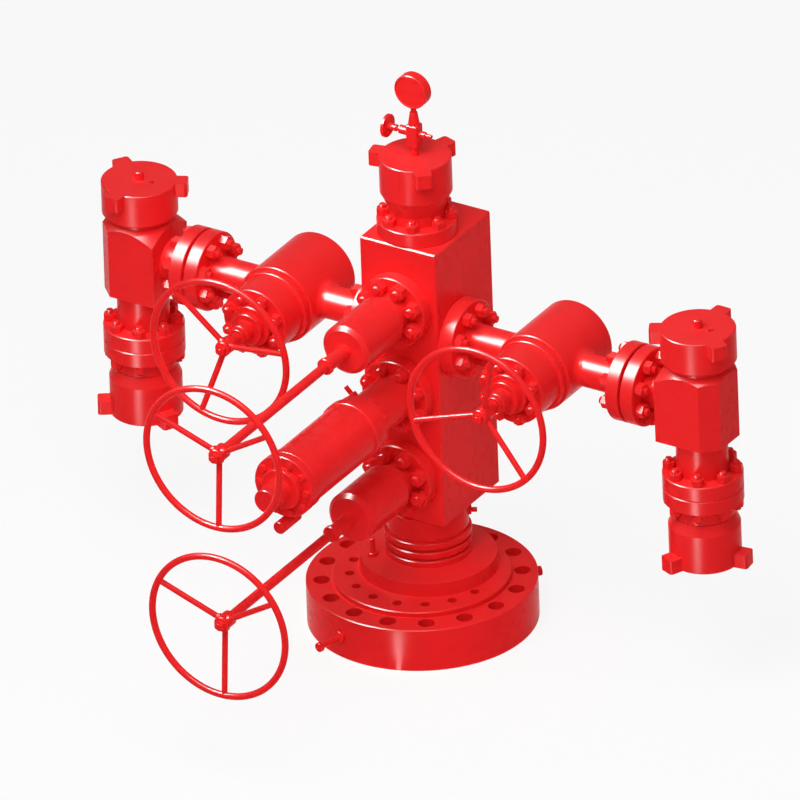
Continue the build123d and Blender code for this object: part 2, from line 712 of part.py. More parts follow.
# Wings: valve, bonnet, bearing cap, stem, handwheel, tee and unions on each side
for side, name in SIDES.items():
    run = sideways(side, WING_Z)
    out = forward(side * WING_X, WING_Z)
    with BuildPart() as body:
        pipe = turned(
            run,
            BLOCK_W / 2,
            (BLOCK_W / 2 + FLANGE_T, FLANGE_R),
            (WING_OUT - FLANGE_T, WING_NECK_R),
            (WING_OUT - FACE_RISE, FLANGE_R),
            (WING_OUT, FACE_R),
        )
        revolve(pipe, axis=centre_line(run))
        barrel = turned(
            out,
            -WING_BODY_BACK,
            (WING_DOME - WING_BODY_BACK, WING_BODY_R - WING_DOME, WING_BODY_R),
            (WING_BODY_FRONT, WING_BODY_R),
        )
        revolve(barrel, axis=centre_line(out))
        fillet(body.edges(Select.NEW), WING_FILLET)
        pipe_bore = turned(run, BLOCK_W / 2, (WING_OUT, BORE_R), edge=0)
        revolve(pipe_bore, axis=centre_line(run), mode=Mode.SUBTRACT)
        cavity = turned(out, -CAVITY_BEHIND, (WING_BODY_FRONT, WING_CAVITY_R), edge=0)
        revolve(cavity, axis=centre_line(out), mode=Mode.SUBTRACT)
    save(body.part, f"{name}_wing_body")

    bonnet_face = WING_BODY_FRONT + WING_BONNET_T
    barrel_end = bonnet_face + WING_BARREL_L
    stem_start = barrel_end - STEM_INSIDE
    bonnet = hollow_turned(
        out,
        WING_BODY_FRONT,
        [
            (WING_BODY_FRONT + WING_RING_T, WING_RING_R),
            (bonnet_face, WING_BONNET_R),
            (barrel_end, WING_BARREL_R),
        ],
        [(stem_start, CAVITY_R), (barrel_end, stem_hole)],
    )
    save(bonnet.part, f"{name}_wing_bonnet")

    bell_end = barrel_end + WING_BELL_T
    tube_end = bell_end + WING_TUBE_L
    gland_end = tube_end + GLAND_T
    bearing = hollow_turned(
        out,
        barrel_end,
        [(bell_end, WING_BELL_R), (tube_end, WING_TUBE_R), (gland_end, GLAND_R)],
        [(gland_end, stem_hole)],
    )
    save(bearing.part, f"{name}_bearing_cap")
    rod = stem(out, stem_start, WING_REACH)
    save(rod.part, f"{name}_wing_stem")
    hub = Plane(out.origin + out.x_dir * WING_REACH, out.x_dir, out.z_dir)
    save(handwheel(hub, WING_TURNS[side]).part, f"{name}_wing_handwheel")

    tee_x = side * TEE_X
    tee_flange = TEE_LOW - TEE_LOWER_L - FLANGE_T
    cap_seat = TEE_HIGH + TEE_NECK_L
    cap_inside = TEE_NUT_H - NUT_ROOF
    stand = upright(x=tee_x)
    outer_edges = slice(2, 4) if side > 0 else slice(0, 2)
    with BuildPart() as tee:
        with BuildSketch(Plane((tee_x, TREE_BACK, TEE_LOW))):
            Rectangle(TEE_W, TEE_D)
        extrude(amount=TEE_HIGH - TEE_LOW)
        chamfer(tee.edges().filter_by(Axis.Z).sort_by(Axis.X)[outer_edges], TEE_CORNER)
        corner_r = (TEE_W**2 + TEE_D**2) ** 0.5 / 2 + EDGE
        neck_foot_r = TEE_NECK_R + EDGE
        shoulder = (corner_r - neck_foot_r) * TEE_SLOPE
        turned_top = turned(
            stand,
            TEE_LOW,
            (TEE_HIGH - shoulder, corner_r),
            (TEE_HIGH, corner_r, neck_foot_r),
            edge=0,
        )
        revolve(turned_top, axis=centre_line(stand), mode=Mode.INTERSECT)
        legs = turned(
            stand,
            tee_flange,
            (tee_flange + FLANGE_T, FLANGE_R),
            (TEE_HIGH - shoulder, TEE_LOWER_R),
            (cap_seat, TEE_NECK_R),
            (cap_seat + cap_inside - SPIGOT_GAP, SPIGOT_R),
        )
        revolve(legs, axis=centre_line(stand))
        branch = turned(
            run,
            WING_OUT,
            (WING_OUT + FACE_RISE, FACE_R),
            (WING_OUT + FLANGE_T, FLANGE_R),
            (TEE_X, TEE_SIDE_R),
        )
        revolve(branch, axis=centre_line(run))
        leg_bore = turned(stand, tee_flange, (cap_seat + cap_inside, BORE_R), edge=0)
        revolve(leg_bore, axis=centre_line(stand), mode=Mode.SUBTRACT)
        branch_bore = turned(run, WING_OUT, (TEE_X, BORE_R), edge=0)
        revolve(branch_bore, axis=centre_line(run), mode=Mode.SUBTRACT)
    save(tee.part, f"{name}_tee_body")

    cap = hammer_nut(
        tee_x,
        cap_seat,
        [(TEE_NUT_H, TEE_NUT_R), (TEE_NUT_H + CAP_PLUG_H, CAP_PLUG_R)],
        [(cap_inside, SPIGOT_R + SEAT_CLEAR)],
        TEE_NUT_H - LUG_H,
        TEE_LUG_R,
        TEE_CAP_TURNS[side],
    )
    with BuildPart() as tee_cap:
        add(cap.part)
        vent_spot = upright(tee_x + CAP_HOLE_OUT, TREE_BACK, cap_seat + TEE_NUT_H)
        vent_hole = turned(vent_spot, -CAP_HOLE_DEPTH, (0, CAP_HOLE_R), edge=0)
        revolve(vent_hole, axis=centre_line(vent_spot), mode=Mode.SUBTRACT)
    save(tee_cap.part, f"{name}_tee_cap")

    sub_neck = tee_flange - FLANGE_T - SUB_NECK_L
    spigot_end = sub_neck - SUB_SPIGOT_L
    sub = hollow_turned(
        stand,
        spigot_end,
        [(sub_neck, SPIGOT_R), (sub_neck + SUB_NECK_L, SUB_NECK_R), (tee_flange, FLANGE_R)],
        [(tee_flange, BORE_R)],
    )
    save(sub.part, f"{name}_lower_sub")

    union_low = sub_neck - UNION_H
    union = hammer_nut(
        tee_x,
        union_low,
        [(UNION_H - UNION_CONE_H, NUT_R), (UNION_H, NUT_R, UNION_CONE_R)],
        [(spigot_end - union_low, UNION_MOUTH_R), (UNION_H, SPIGOT_R + SEAT_CLEAR)],
        0,
        TEE_LUG_R,
        UNION_TURNS[side],
    )
    save(union.part, f"{name}_union_nut")
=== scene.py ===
# %% [markdown]
# # A gas wellhead valve stack, dressed in Blender
#
# The object is a solid block tree: a tall steel block on a thick flange, with bonnets and handwheels
# to the front and a wing with a tee on each side. The solids come from the CAD model, so they are
# loaded as a fixed frame, in metres, and nothing here moves or reshapes them. What is left for this
# script is what a fitter and a painter do last: studs, nuts, screws, welds and coats of red paint.

# %% Load the frame
import math

import bpy
from mathutils import Matrix, Vector


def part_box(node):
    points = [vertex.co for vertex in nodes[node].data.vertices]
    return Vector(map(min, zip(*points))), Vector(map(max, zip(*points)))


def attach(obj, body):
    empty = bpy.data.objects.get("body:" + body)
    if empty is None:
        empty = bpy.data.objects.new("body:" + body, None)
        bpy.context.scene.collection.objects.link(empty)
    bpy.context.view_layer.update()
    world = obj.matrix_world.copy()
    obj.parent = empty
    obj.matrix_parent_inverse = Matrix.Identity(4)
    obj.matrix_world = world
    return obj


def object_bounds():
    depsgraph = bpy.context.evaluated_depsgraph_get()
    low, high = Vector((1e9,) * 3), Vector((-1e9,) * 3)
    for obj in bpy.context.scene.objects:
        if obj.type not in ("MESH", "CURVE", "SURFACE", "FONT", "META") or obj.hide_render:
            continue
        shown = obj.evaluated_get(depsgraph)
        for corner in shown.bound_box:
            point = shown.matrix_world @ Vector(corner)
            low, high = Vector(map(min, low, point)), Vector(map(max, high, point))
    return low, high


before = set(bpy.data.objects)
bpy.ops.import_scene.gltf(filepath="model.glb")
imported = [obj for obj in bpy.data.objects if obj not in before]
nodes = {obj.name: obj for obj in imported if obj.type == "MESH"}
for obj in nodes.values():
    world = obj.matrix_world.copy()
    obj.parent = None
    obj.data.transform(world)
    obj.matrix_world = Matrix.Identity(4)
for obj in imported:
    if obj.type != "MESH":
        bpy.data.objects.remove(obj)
cad_low, cad_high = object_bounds()
print("nodes:", len(nodes), "size:", [round(v, 3) for v in cad_high - cad_low])

# %% [markdown]
# Everything that is added sits on the solids, so a few places are read from the frame: the tree's
# upright axis from the top connector, and the height of the wings from a wing valve's stem. A handful
# of flange thicknesses can't be read from a box, and are written once here.

# %% Read the axes from the frame


def middle(node):
    """The centre of a node's box."""
    low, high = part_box(node)
    return (low + high) / 2


UP, FRONT = Vector((0, 0, 1)), Vector((0, -1, 0))
SIDES = {"left": Vector((-1, 0, 0)), "right": Vector((1, 0, 0))}
FLANGE_T = 0.045
BONNET_FLANGE_T = 0.042
WING_BONNET_T = 0.118
END_FLANGE_T = 0.030
YOKE_FLANGE_T = 0.042

tree = middle("top_connector")
wing_z = middle("left_wing_stem").z
print("tree axis:", round(tree.x, 3), round(tree.y, 3), "wing height:", round(wing_z, 3))

# %% [markdown]
# The photograph has no vanishing point to speak of, so the camera is orthographic. It looks down at
# the tree from the front and a little from the right. The pixel where the frame's origin shows, and
# the number of pixels to a metre, fix where the camera stands and how wide it sees.

# %% Camera
AZIMUTH = math.radians(32.19)
ELEVATION = math.radians(28.74)
ROLL = math.radians(-1.99)
PIXELS_PER_METRE = 356.1
IMAGE_SIZE = 800
ORIGIN_PIXEL = (423.4, 615.4)
CAMERA_DISTANCE = 6.0
SIGHT_END = 60

level_right = Vector((math.cos(AZIMUTH), math.sin(AZIMUTH), 0))
back = Vector(
    (
        math.sin(AZIMUTH) * math.cos(ELEVATION),
        -math.cos(AZIMUTH) * math.cos(ELEVATION),
        math.sin(ELEVATION),
    )
)
level_up = back.cross(level_right)
view_right = level_right * math.cos(ROLL) + level_up * math.sin(ROLL)
view_up = level_up * math.cos(ROLL) - level_right * math.sin(ROLL)
across = (IMAGE_SIZE / 2 - ORIGIN_PIXEL[0]) / PIXELS_PER_METRE
above = (ORIGIN_PIXEL[1] - IMAGE_SIZE / 2) / PIXELS_PER_METRE
stand = view_right * across + view_up * above + back * CAMERA_DISTANCE

bpy.ops.object.camera_add()
camera = bpy.context.object
camera.name = "photo_camera"
camera.data.type = "ORTHO"
camera.data.ortho_scale = IMAGE_SIZE / PIXELS_PER_METRE
camera.data.clip_end = SIGHT_END
camera.matrix_world = Matrix((view_right, view_up, back)).transposed().to_4x4()
camera.location = stand
bpy.context.scene.camera = camera
print("camera at", [round(v, 3) for v in stand], "sees", round(camera.data.ortho_scale, 3), "m")

# %% [markdown]
# The light is a plain studio: one wide soft box in front, above the camera's left shoulder, and an
# even surround. Enamel also needs something to mirror. Two panels do that: they show only in the
# gloss and light nothing, as a photographer's cards do. A pipe that runs along X mirrors a line of
# directions, and the long panel above the front left lies along that line, so those pipes and the
# upper front edges get their white streaks while the barrels that point to the front get none. The
# other panel hangs almost overhead, for the tees' sloping shoulders. It is far away, so that both
# tees see it in the same direction.

# %% Studio light
KEY_DIRECTION = Vector((0.12, -0.47, 0.87)).normalized()
NEAR, FAR = 5.0, 20.0
KEY_SIZE = (3.2, 3.2)
KEY_POWER = 190
PANEL_DIRECTION = Vector((-0.467, -0.374, 0.801)).normalized()
PANEL_ALONG = Vector((0, 0.907, 0.422)).normalized()
PANEL_SIZE = (2.2, 3.4)
PANEL_POWER = 15000
SHOULDER_DIRECTION = Vector((0.02, -0.26, 0.965)).normalized()
SHOULDER_SIZE = (3.6, 10.0)
SHOULDER_POWER = 42000
SURROUND = 0.44

aim = (cad_low + cad_high) / 2


def soft_box(name, place, behind, along, size, power):
    """A rectangular lamp. behind points away from what it lights, along is its second side."""
    bpy.ops.object.light_add(type="AREA")
    lamp = bpy.context.object
    lamp.name = name
    turn = Matrix((along.cross(behind), along, behind)).transposed().to_4x4()
    lamp.matrix_world = Matrix.Translation(place) @ turn
    lamp.data.shape = "RECTANGLE"
    lamp.data.size, lamp.data.size_y = size
    lamp.data.energy = power
    return lamp


def hung_box(name, direction, distance, along, size, power):
    """A soft box that hangs in some direction from the middle of the tree and shines at it."""
    return soft_box(name, aim + direction * distance, direction, along, size, power)


key_across = KEY_DIRECTION.cross(UP).normalized()
shoulder_across = SHOULDER_DIRECTION.cross(UP).normalized()
hung_box("key_box", KEY_DIRECTION, NEAR, key_across, KEY_SIZE, KEY_POWER)
gloss_only = [
    hung_box("pipe_panel", PANEL_DIRECTION, NEAR, PANEL_ALONG, PANEL_SIZE, PANEL_POWER),
    hung_box(
        "shoulder_panel", SHOULDER_DIRECTION, FAR, shoulder_across, SHOULDER_SIZE, SHOULDER_POWER
    ),
]
for panel in gloss_only:
    panel.visible_diffuse = False

world = bpy.data.worlds.new("studio")
world.use_nodes = True
world.node_tree.nodes["Background"].inputs["Color"].default_value = (1, 1, 1, 1)
world.node_tree.nodes["Background"].inputs["Strength"].default_value = SURROUND
bpy.context.scene.world = world
bpy.context.scene.view_settings.view_transform = "Standard"
print("lamps:", 1 + len(gloss_only))

# %% [markdown]
# The floor is pale and matte, so it throws none of the panels' light back at the tree. The camera and
# the gloss see most of it as plain white, and the rest of it keeps the tree's shadow. Its shader adds
# and multiplies a few sockets. The paint's node groups will too, so that gets a small helper first.

# %% Floor
FLOOR_SIZE = 40
FLOOR_GREY = (0.86, 0.86, 0.86, 1)
FLOOR_ROUGHNESS = 0.9
FLOOR_WHITE = 0.87


def math_node(wires, operation, first, second):
    """A Math node. Each side is a socket to link or a plain number."""
    node = wires.nodes.new("ShaderNodeMath")
    node.operation = operation
    for socket, value in zip(node.inputs, (first, second)):
        if isinstance(value, bpy.types.NodeSocket):
            wires.links.new(value, socket)
        else:
            socket.default_value = value
    return node.outputs[0]


bpy.ops.mesh.primitive_plane_add(size=FLOOR_SIZE, location=(0, 0, cad_low.z))
floor = bpy.context.object
floor.name = "floor"

floor_paint = bpy.data.materials.new("pale_floor")
floor_paint.use_nodes = True
floor_wires = floor_paint.node_tree
matte = floor_wires.nodes["Principled BSDF"]
matte.inputs["Base Color"].default_value = FLOOR_GREY
matte.inputs["Roughness"].default_value = FLOOR_ROUGHNESS
matte.inputs["Specular IOR Level"].default_value = 0
glow = floor_wires.nodes.new("ShaderNodeEmission")
ray = floor_wires.nodes.new("ShaderNodeLightPath").outputs
seen = math_node(floor_wires, "ADD", ray["Is Camera Ray"], ray["Is Glossy Ray"])
seen = math_node(floor_wires, "ADD", seen, ray["Is Transmission Ray"])
both = floor_wires.nodes.new("ShaderNodeMixShader")
floor_wires.links.new(math_node(floor_wires, "MULTIPLY", seen, FLOOR_WHITE), both.inputs["Fac"])
floor_wires.links.new(matte.outputs["BSDF"], both.inputs[1])
floor_wires.links.new(glow.outputs["Emission"], both.inputs[2])
floor_end = floor_wires.nodes["Material Output"]
floor_wires.links.new(both.outputs["Shader"], floor_end.inputs["Surface"])
floor.data.materials.append(floor_paint)
print("floor:", FLOOR_SIZE, "m wide")

# %% [markdown]
# An upright cylinder that is seen from above mirrors the floor in front of it, never the lamps. So
# the thin streaks down the caps, the unions and the base's rim come from white cards that lie on the
# floor, a little to one side of the camera. The higher a spot is, the further out it mirrors the
# floor, and the wider its card has to be for a streak of the same width. These cards too show only in
# the gloss, and each is linked to its own stack, so that no other face mirrors it.

# %% Cards on the floor
CARD_AZIMUTH = math.radians(6.2)
CARD_FAN = math.radians(8)
CARD_GLOW = 105
CARD_LIFT = 0.003
BASE_RIM_T = 0.130
BASE_CARDS, CAP_CARDS, TEE_CARDS = 3, 1, 2

streak_azimuth = (AZIMUTH + CARD_AZIMUTH) / 2
streak_side = Vector((math.sin(streak_azimuth), -math.cos(streak_azimuth), 0))
card_way = Vector((math.sin(CARD_AZIMUTH), -math.cos(CARD_AZIMUTH), 0))


def floor_cards(stack, low, high, count):
    """A row of cards that a stack of upright round nodes mirrors between two heights."""
    node_low, node_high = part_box(stack[0])
    foot = middle(stack[0]) + streak_side * (node_high.x - node_low.x) / 2
    foot.z = cad_low.z + CARD_LIFT
    mirrors = bpy.data.collections.new(f"{stack[0]}_mirrors")
    for name in stack:
        mirrors.objects.link(nodes[name])
    for index in range(count):
        near, far = (
            (low + (high - low) * (index + end) / count) / math.tan(ELEVATION) for end in (0, 1)
        )
        size = ((near + far) * math.tan(CARD_FAN), far - near)
        power = CARD_GLOW * math.pi * size[0] * size[1]
        spot = foot + card_way * (near + far) / 2
        card = soft_box(f"{stack[0]}_card_{index}", spot, -UP, card_way, size, power)
        card.visible_diffuse = False
        card.light_linking.receiver_collection = mirrors


floor_cards(["base_flange"], 0.0, BASE_RIM_T, BASE_CARDS)
cap_low, cap_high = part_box("top_connector")[0].z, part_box("tree_cap")[1].z
floor_cards(["top_connector", "tree_cap"], cap_low, cap_high, CAP_CARDS)
for side in SIDES:
    stack = [f"{side}_{word}" for word in ("lower_sub", "union_nut", "tee_body", "tee_cap")]
    floor_cards(stack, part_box(stack[1])[0].z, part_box(stack[3])[1].z, TEE_CARDS)
print("cards:", BASE_CARDS + CAP_CARDS + TEE_CARDS * len(SIDES))

# %% [markdown]
# Sprayed enamel is never one flat colour. It is a little deeper where it lies thick and paler where
# it runs thin, it has the fine dimples that painters call orange peel, and its gloss wanders. More
# than one finish needs that, so it is a node group, with the colour, the amount and the grain as
# inputs. Object coordinates are metres here, so a scale of 500 is a dimple about 2 mm wide.

# %% Node group: paint film
RUN_SCALE, RUN_DETAIL = 5.0, 3
GLOSS_SCALE, GLOSS_DETAIL = 34.0, 2
GLOSS_RANGE = 0.08
DIMPLE_DETAIL = 2
NOISE_MIDDLE = 0.5


def new_group(name, inputs, outputs):
    """An empty shader node group with named sockets. Inputs are (name, kind, value)."""
    group = bpy.data.node_groups.new(name, "ShaderNodeTree")
    for label, kind, value in inputs:
        socket = group.interface.new_socket(name=label, in_out="INPUT", socket_type=kind)
        socket.default_value = value
    for label, kind in outputs:
        group.interface.new_socket(name=label, in_out="OUTPUT", socket_type=kind)
    return group, group.nodes.new("NodeGroupInput"), group.nodes.new("NodeGroupOutput")


def noise(wires, where, scale, detail):
    """A noise texture. The scale is a socket or a number of waves to a metre."""
    node = wires.nodes.new("ShaderNodeTexNoise")
    node.inputs["Detail"].default_value = detail
    wires.links.new(where, node.inputs["Vector"])
    if isinstance(scale, bpy.types.NodeSocket):
        wires.links.new(scale, node.inputs["Scale"])
    else:
        node.inputs["Scale"].default_value = scale
    return node.outputs["Fac"]


film, film_in, film_out = new_group(
    "paint_film",
    [
        ("Colour", "NodeSocketColor", (0.8, 0.02, 0.02, 1)),
        ("Unevenness", "NodeSocketFloat", 0.1),
        ("Dimples", "NodeSocketFloat", 500.0),
        ("Gloss", "NodeSocketFloat", 0.25),
    ],
    [
        ("Colour", "NodeSocketColor"),
        ("Roughness", "NodeSocketFloat"),
        ("Height", "NodeSocketFloat"),
    ],
)
place = film.nodes.new("ShaderNodeTexCoord").outputs["Object"]
runs = math_node(film, "SUBTRACT", noise(film, place, RUN_SCALE, RUN_DETAIL), NOISE_MIDDLE)
depth = math_node(film, "MULTIPLY", runs, film_in.outputs["Unevenness"])
tone = film.nodes.new("ShaderNodeHueSaturation")
film.links.new(film_in.outputs["Colour"], tone.inputs["Color"])
film.links.new(math_node(film, "ADD", depth, 1.0), tone.inputs["Value"])
film.links.new(tone.outputs["Color"], film_out.inputs["Colour"])
wander = math_node(film, "SUBTRACT", noise(film, place, GLOSS_SCALE, GLOSS_DETAIL), NOISE_MIDDLE)
wander = math_node(film, "MULTIPLY", wander, GLOSS_RANGE)
roughness = math_node(film, "ADD", wander, film_in.outputs["Gloss"])
film.links.new(roughness, film_out.inputs["Roughness"])
peel = noise(film, place, film_in.outputs["Dimples"], DIMPLE_DETAIL)
film.links.new(peel, film_out.inputs["Height"])
print("group:", film.name, [socket.name for socket in film.interface.items_tree])

# %% [markdown]
# Paint pulls away from a sharp edge and gets knocked there first. The Bevel node gives the normal
# that a rounded edge would have, and where it turns away from the true normal there is an edge. That
# makes a mask, broken up by noise so that the edge marks aren't a drawn line. The hammer nuts take
# dark chips by it, and the other finishes a paler tint that is partly thin paint and partly a painted
# highlight along the edges. A second mask is for the fine dust that settles on what faces up.

# %% Node groups: edge mask and dust mask
BEVEL_SAMPLES = 4
EDGE_TURN = 0.16
EDGE_BREAK_SCALE, EDGE_BREAK_DETAIL = 60.0, 4
DUST_SCALE, DUST_DETAIL = 18.0, 5

edges, edges_in, edges_out = new_group(
    "worn_and_highlit_edges",
    [("Width", "NodeSocketFloat", 0.003)],
    [("Mask", "NodeSocketFloat")],
)
# This edge mask carries chips, thin paint and a painted highlight along the edges.
rounded = edges.nodes.new("ShaderNodeBevel")
rounded.samples = BEVEL_SAMPLES
true_face = edges.nodes.new("ShaderNodeNewGeometry")
alike = edges.nodes.new("ShaderNodeVectorMath")
alike.operation = "DOT_PRODUCT"
edges.links.new(edges_in.outputs["Width"], rounded.inputs["Radius"])
edges.links.new(rounded.outputs["Normal"], alike.inputs[0])
edges.links.new(true_face.outputs["Normal"], alike.inputs[1])
turned_away = math_node(edges, "SUBTRACT", 1.0, alike.outputs["Value"])
sharp = math_node(edges, "DIVIDE", turned_away, EDGE_TURN)
where = edges.nodes.new("ShaderNodeTexCoord").outputs["Object"]
breaks = noise(edges, where, EDGE_BREAK_SCALE, EDGE_BREAK_DETAIL)
broken = math_node(edges, "MULTIPLY", sharp, breaks)
edges.links.new(math_node(edges, "MINIMUM", broken, 1.0), edges_out.inputs["Mask"])

dust, dust_in, dust_out = new_group(
    "settled_dust",
    [("Amount", "NodeSocketFloat", 0.1)],
    [("Mask", "NodeSocketFloat")],
)
facing = dust.nodes.new("ShaderNodeSeparateXYZ")
dust.links.new(dust.nodes.new("ShaderNodeNewGeometry").outputs["Normal"], facing.inputs[0])
upward = math_node(dust, "MAXIMUM", facing.outputs["Z"], 0.0)
where = dust.nodes.new("ShaderNodeTexCoord").outputs["Object"]
patches = math_node(dust, "MULTIPLY", upward, noise(dust, where, DUST_SCALE, DUST_DETAIL))
dust.links.new(
    math_node(dust, "MULTIPLY", patches, dust_in.outputs["Amount"]), dust_out.inputs["Mask"]
)
print("groups:", edges.name, dust.name)

# %% [markdown]
# Each finish is the same recipe with its own values: the paint film, mixed towards a paler tint at
# the edges, which is partly thin paint and partly a painted highlight, and towards dust on top, with
# the dimples as a bump. The colour of the enamel is one value. Forgings keep a trace of the forge's
# skin under the paint, turned pieces are smoother, hammer nuts are chipped at their lugs, handwheels
# are rubbed by hands, and fasteners are thick with paint.

# %% Red enamel finishes
ENAMEL = (0.86, 0.016, 0.018, 1)
# The paler edge tint is partly thin paint and partly a painted highlight along the edges.
THIN_PAINT_HIGHLIGHT_TINT = (0.90, 0.09, 0.08, 1)
CHIP_TINT = (0.20, 0.035, 0.03, 1)
DUST_TINT = (0.62, 0.40, 0.36, 1)
SHINE = 0.03
UNEVENNESS = 0.16
BUMP_STRENGTH = 0.6
THIN_PAINT_HIGHLIGHT_AMOUNT, CHIP_AMOUNT = 0.30, 0.40


def mix_colour(wires, mask, first, second):
    """Mixes two colours by a mask. first is a socket, second a plain colour."""
    node = wires.nodes.new("ShaderNodeMix")
    node.data_type = "RGBA"
    wires.links.new(mask, node.inputs["Factor"])
    wires.links.new(first, node.inputs["A"])
    node.inputs["B"].default_value = second
    return node.outputs["Result"]


def enamel_finish(
    name, gloss, dimples, bump, edge_width, dust_amount, edge_amount=THIN_PAINT_HIGHLIGHT_AMOUNT, edge_tint=THIN_PAINT_HIGHLIGHT_TINT
):
    """One painted finish. bump is the height of the dimples in metres."""
    finish = bpy.data.materials.new(name)
    finish.use_nodes = True
    wires = finish.node_tree
    shader = wires.nodes["Principled BSDF"]
    coat = wires.nodes.new("ShaderNodeGroup")
    coat.node_tree = film
    coat.inputs["Colour"].default_value = ENAMEL
    coat.inputs["Unevenness"].default_value = UNEVENNESS
    coat.inputs["Dimples"].default_value = dimples
    coat.inputs["Gloss"].default_value = gloss
    edge_wear_and_highlight = wires.nodes.new("ShaderNodeGroup")
    edge_wear_and_highlight.node_tree = edges
    edge_wear_and_highlight.inputs["Width"].default_value = edge_width
    settled = wires.nodes.new("ShaderNodeGroup")
    settled.node_tree = dust
    settled.inputs["Amount"].default_value = dust_amount
    # At edges: chips on the hammer nuts, elsewhere thin paint with a painted highlight.
    worn_and_highlit = math_node(wires, "MULTIPLY", edge_wear_and_highlight.outputs["Mask"], edge_amount)
    colour = mix_colour(wires, worn_and_highlit, coat.outputs["Colour"], edge_tint)
    colour = mix_colour(wires, settled.outputs["Mask"], colour, DUST_TINT)
    wires.links.new(colour, shader.inputs["Base Color"])
    dulled = math_node(wires, "ADD", coat.outputs["Roughness"], settled.outputs["Mask"])
    wires.links.new(dulled, shader.inputs["Roughness"])
    relief = wires.nodes.new("ShaderNodeBump")
    relief.inputs["Distance"].default_value = bump
    relief.inputs["Strength"].default_value = BUMP_STRENGTH
    wires.links.new(coat.outputs["Height"], relief.inputs["Height"])
    wires.links.new(relief.outputs["Normal"], shader.inputs["Normal"])
    shader.inputs["Specular IOR Level"].default_value = SHINE
    return finish


forged = enamel_finish(
    "forged_enamel", gloss=0.28, dimples=520, bump=0.00004, edge_width=0.004, dust_amount=0.04
)
turned = enamel_finish(
    "turned_enamel", gloss=0.26, dimples=620, bump=0.00003, edge_width=0.003, dust_amount=0.03
)
struck = enamel_finish(
    "struck_enamel",
    gloss=0.30,
    dimples=450,
    bump=0.00006,
    edge_width=0.005,
    dust_amount=0.04,
    edge_amount=CHIP_AMOUNT,
    edge_tint=CHIP_TINT,
)
handled = enamel_finish(
    "handled_enamel", gloss=0.26, dimples=620, bump=0.00003, edge_width=0.003, dust_amount=0.02
)
fastened = enamel_finish(
    "fastener_enamel", gloss=0.28, dimples=700, bump=0.00005, edge_width=0.0015, dust_amount=0.04
)
print("finishes:", [m.name for m in (forged, turned, struck, handled, fastened)])

# %% [markdown]
# A node's name says what it is, so its finish follows from a word in the name. Whatever isn't named
# here was turned on a lathe.

# %% Paint the solids
FINISH_BY_WORD = {
    "base_flange": forged,
    "tree_neck": forged,
    "valve_block": forged,
    "wing_body": forged,
    "tee_body": forged,
    "bonnet": forged,
    "tree_cap": struck,
    "tee_cap": struck,
    "union_nut": struck,
    "handwheel": handled,
    "handle": handled,
}
painted = {}
for name, node in nodes.items():
    finish = next((f for word, f in FINISH_BY_WORD.items() if word in name), turned)
    node.data.materials.clear()
    node.data.materials.append(finish)
    painted[finish.name] = painted.get(finish.name, 0) + 1
print("painted:", painted)

# %% [markdown]
# A heavy hex nut is a six-sided bar whose corners are turned off at a slant, so each flat ends in a
# curved line. A bevel would cut straight across the corners instead. So the bar is crossed with a
# turned blank, a short cylinder with slanted ends, as the lathe does it. The blank is a hair wider
# than the bar's corners, so that only its slants cut.

# %% Model one nut
HEX = 6
BLANK_SIDES = 24
BLANK_SPARE = 1.02
CORNER = math.cos(math.pi / HEX)
SLANT_SHARE = 0.09
LOOKS_ALONG = 0.95


def start_fresh():
    """Leaves edit mode and deselects everything, because an operator acts on what is selected."""
    if bpy.context.object and bpy.context.object.mode != "OBJECT":
        bpy.ops.object.mode_set(mode="OBJECT")
    bpy.ops.object.select_all(action="DESELECT")


def new_cylinder(name, sides, radius, low, high):
    """A plain cylinder along Z to start a piece from, alone in the selection."""
    start_fresh()
    bpy.ops.mesh.primitive_cylinder_add(
        vertices=sides, radius=radius, depth=high - low, location=(0, 0, (low + high) / 2)
    )
    bpy.ops.object.transform_apply(location=True, rotation=True, scale=True)
    bpy.context.object.name = name
    return bpy.context.object


def push_end(piece, sign, rise, shrink):
    """Extrudes the end face that looks up (sign 1) or down (-1) by rise, and scales it."""
    bpy.ops.object.mode_set(mode="EDIT")
    bpy.ops.mesh.select_mode(type="FACE")
    bpy.ops.mesh.select_all(action="DESELECT")
    bpy.ops.object.mode_set(mode="OBJECT")
    for face in piece.data.polygons:
        face.select = face.normal.z * sign > LOOKS_ALONG
    bpy.ops.object.mode_set(mode="EDIT")
    bpy.ops.mesh.extrude_region_move(TRANSFORM_OT_translate={"value": (0, 0, sign * rise)})
    bpy.ops.transform.resize(value=(shrink, shrink, 1), center_override=(0, 0, 0))
    bpy.ops.object.mode_set(mode="OBJECT")


def hex_nut(name, flats, height):
    """A hex nut that stands on z = 0."""
    corner_r = flats / 2 / CORNER
    slant = height * SLANT_SHARE
    blank = new_cylinder("turned_blank", BLANK_SIDES, corner_r * BLANK_SPARE, slant, height - slant)
    for sign in (1, -1):
        push_end(blank, sign, slant, 1 - 2 * slant / corner_r)
    nut = new_cylinder(name, HEX, corner_r, 0, height)
    crossing = nut.modifiers.new("corners_turned_off", "BOOLEAN")
    crossing.operation = "INTERSECT"
    crossing.object = blank
    bpy.ops.object.modifier_apply(modifier=crossing.name)
    bpy.data.objects.remove(blank)
    return nut


cap_screw = hex_nut("cap_screw", flats=0.019, height=0.010)
wheel_nut = hex_nut("wheel_nut", flats=0.027, height=0.012)
print("nut faces:", len(cap_screw.data.polygons))

# %% [markdown]
# A stud is a threaded bar, and its end stands proud of the nut. A true thread is a spiral, which
# the Screw modifier could make, but it has many faces and well over a hundred studs show. So the
# thread is a row of ridges: the end face is pushed out, drawn in, pushed out and let out again,
# turn by turn, and the last push is a small chamfer. The pitch is the real one of 8 to the inch.

